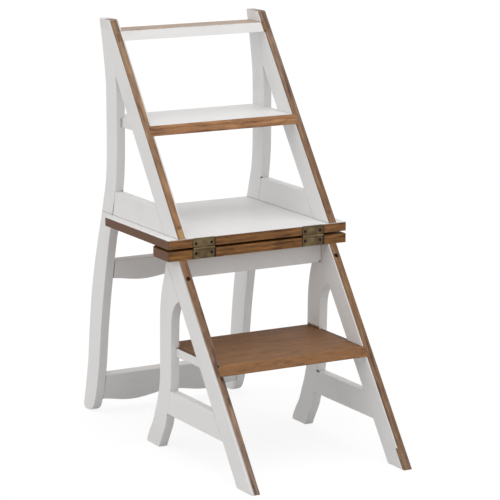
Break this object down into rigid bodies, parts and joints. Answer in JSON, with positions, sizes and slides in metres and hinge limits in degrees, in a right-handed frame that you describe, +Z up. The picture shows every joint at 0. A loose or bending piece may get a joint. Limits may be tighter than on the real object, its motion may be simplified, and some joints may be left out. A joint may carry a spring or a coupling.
{
  "type": "folding step stool chair",
  "caption": "Slatless wooden chair whose hinged back half turns over the seat to stand as a small set of library steps, shown open as steps.",
  "frame": {"origin": "on the floor below the middle of the object's bounding box, with the object standing open as steps", "axes": "+Z up, +X across the object to the right of a person who climbs it, +Y away from that person"},
  "size_m": [0.436, 0.7722, 0.9],
  "materials": {
    "white_paint": "satin paint over wood",
    "brown_wood": "brown stain under a thin varnish",
    "dowel_wood": "bare",
    "aged_brass": "dark patina",
    "dark_steel": "dark oxide"
  },
  "bodies": {
    "base": {"base_leg_left": "white_paint", "base_leg_right": "white_paint", "base_stringer_left": "white_paint", "base_stringer_right": "white_paint", "base_side_rail_left": "white_paint", "base_side_rail_right": "white_paint", "base_step": "brown_wood", "base_apron": "white_paint", "front_seat_board": "brown_wood", "hinge_left_lower_leaf": "aged_brass", "hinge_right_lower_leaf": "aged_brass", "hinge_left_pin": "aged_brass", "hinge_right_pin": "aged_brass", "hinge_left_lower_screw_a": "aged_brass", "hinge_left_lower_screw_b": "aged_brass", "hinge_right_lower_screw_a": "aged_brass", "hinge_right_lower_screw_b": "aged_brass", "base_stringer_screw_left": "dark_steel", "base_stringer_screw_right": "dark_steel", "apron_dowel_left": "dowel_wood", "apron_dowel_right": "dowel_wood", "front_board_dowel_left": "dowel_wood", "front_board_dowel_right": "dowel_wood"},
    "back": {"seat_board": "brown_wood", "shelf": "white_paint", "top_tread": "brown_wood", "back_post_left": "white_paint", "back_post_right": "white_paint", "upper_stringer_left": "white_paint", "upper_stringer_right": "white_paint", "upper_side_rail_left": "white_paint", "upper_side_rail_right": "white_paint", "back_mid_rail": "white_paint", "back_crest_rail": "white_paint", "hinge_left_upper_leaf": "aged_brass", "hinge_right_upper_leaf": "aged_brass", "hinge_left_upper_screw_a": "aged_brass", "hinge_left_upper_screw_b": "aged_brass", "hinge_right_upper_screw_a": "aged_brass", "hinge_right_upper_screw_b": "aged_brass", "upper_stringer_screw_left": "dark_steel", "upper_stringer_screw_right": "dark_steel", "upper_stringer_plug_left": "brown_wood", "upper_stringer_plug_right": "brown_wood", "mid_rail_dowel_left": "dowel_wood", "mid_rail_dowel_right": "dowel_wood", "crest_rail_dowel_left": "dowel_wood", "crest_rail_dowel_right": "dowel_wood", "side_rail_dowel_left": "dowel_wood", "side_rail_dowel_right": "dowel_wood"}
  },
  "joints": [
    {"name": "fold", "type": "hinge", "parent": "base", "child": "back", "pos_m": [0, -0.07312, 0.45], "axis": [1, 0, 0], "range_deg": [0, 180]}
  ]
}
